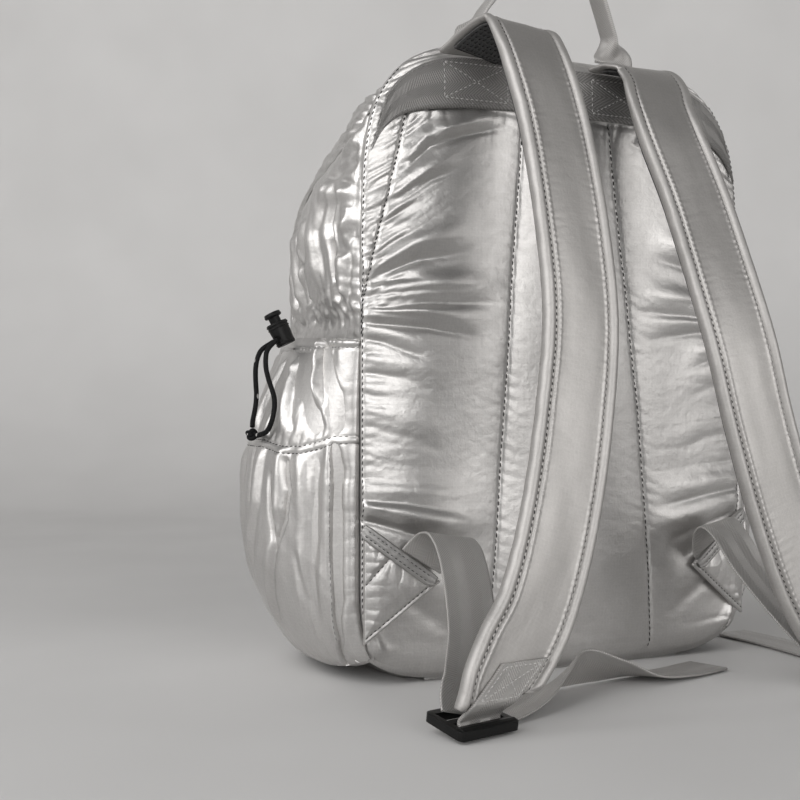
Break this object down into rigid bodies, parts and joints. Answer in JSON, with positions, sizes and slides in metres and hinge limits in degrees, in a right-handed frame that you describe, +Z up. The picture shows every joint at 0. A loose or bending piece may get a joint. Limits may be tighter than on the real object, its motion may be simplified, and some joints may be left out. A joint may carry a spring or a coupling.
{
  "type": "mini backpack",
  "caption": "Small puffy metallic nylon backpack with padded shoulder straps, webbing yoke and haul loop, drawcord side pockets and ladder-lock buckles.",
  "frame": {"origin": "middle of the flat base, on the surface the bag stands on", "axes": "+Z up, -Y out of the back panel with the shoulder straps, +Y out of the front, +X to the right seen from the strap side"},
  "size_m": [0.331, 0.2548, 0.3941],
  "materials": {
    "ripstop": "metallic silver coated ripstop nylon, glossy",
    "webbing": "warm grey twill webbing with a slight sheen",
    "spacer_mesh": "black open spacer mesh",
    "black_plastic": "moulded black acetal, satin",
    "cord": "black braided cord with light tracer flecks",
    "zip": "grey zip tape"
  },
  "bodies": {
    "pack": {"back_panel": "ripstop", "top_gusset": "ripstop", "front_panel": "ripstop", "main_zip": "zip", "base_panel": "ripstop", "yoke_band": "webbing", "haul_loop": "webbing", "side_panel_left": "ripstop", "side_panel_right": "ripstop", "side_pocket_left": "ripstop", "side_pocket_right": "ripstop", "wing_tab_left": "ripstop", "wing_tab_right": "ripstop", "strap_left": "ripstop", "strap_right": "ripstop", "strap_mesh_left": "spacer_mesh", "strap_mesh_right": "spacer_mesh", "strap_tab_left": "webbing", "strap_tab_right": "webbing", "ladder_lock_left": "black_plastic", "ladder_lock_right": "black_plastic", "adjust_webbing_left": "webbing", "adjust_webbing_right": "webbing", "webbing_tail_left": "webbing", "webbing_tail_right": "webbing", "cord_lock_body_left": "black_plastic", "cord_lock_body_right": "black_plastic", "drawcord_rear_left": "cord", "drawcord_rear_right": "cord", "drawcord_front_left": "cord", "drawcord_front_right": "cord", "drawcord_knot_left": "cord", "drawcord_knot_right": "cord"},
    "button_left": {"cord_lock_button_left": "black_plastic"},
    "button_right": {"cord_lock_button_right": "black_plastic"}
  },
  "joints": [
    {"name": "button_left_press", "type": "slide", "parent": "pack", "child": "button_left", "axis": [0.397, -0.185, -0.899], "range_m": [0, 0.003], "stiffness_N_per_m": 300, "springref_m": -0.002},
    {"name": "button_right_press", "type": "slide", "parent": "pack", "child": "button_right", "axis": [-0.397, -0.185, -0.899], "range_m": [0, 0.003], "stiffness_N_per_m": 300, "springref_m": -0.002}
  ]
}
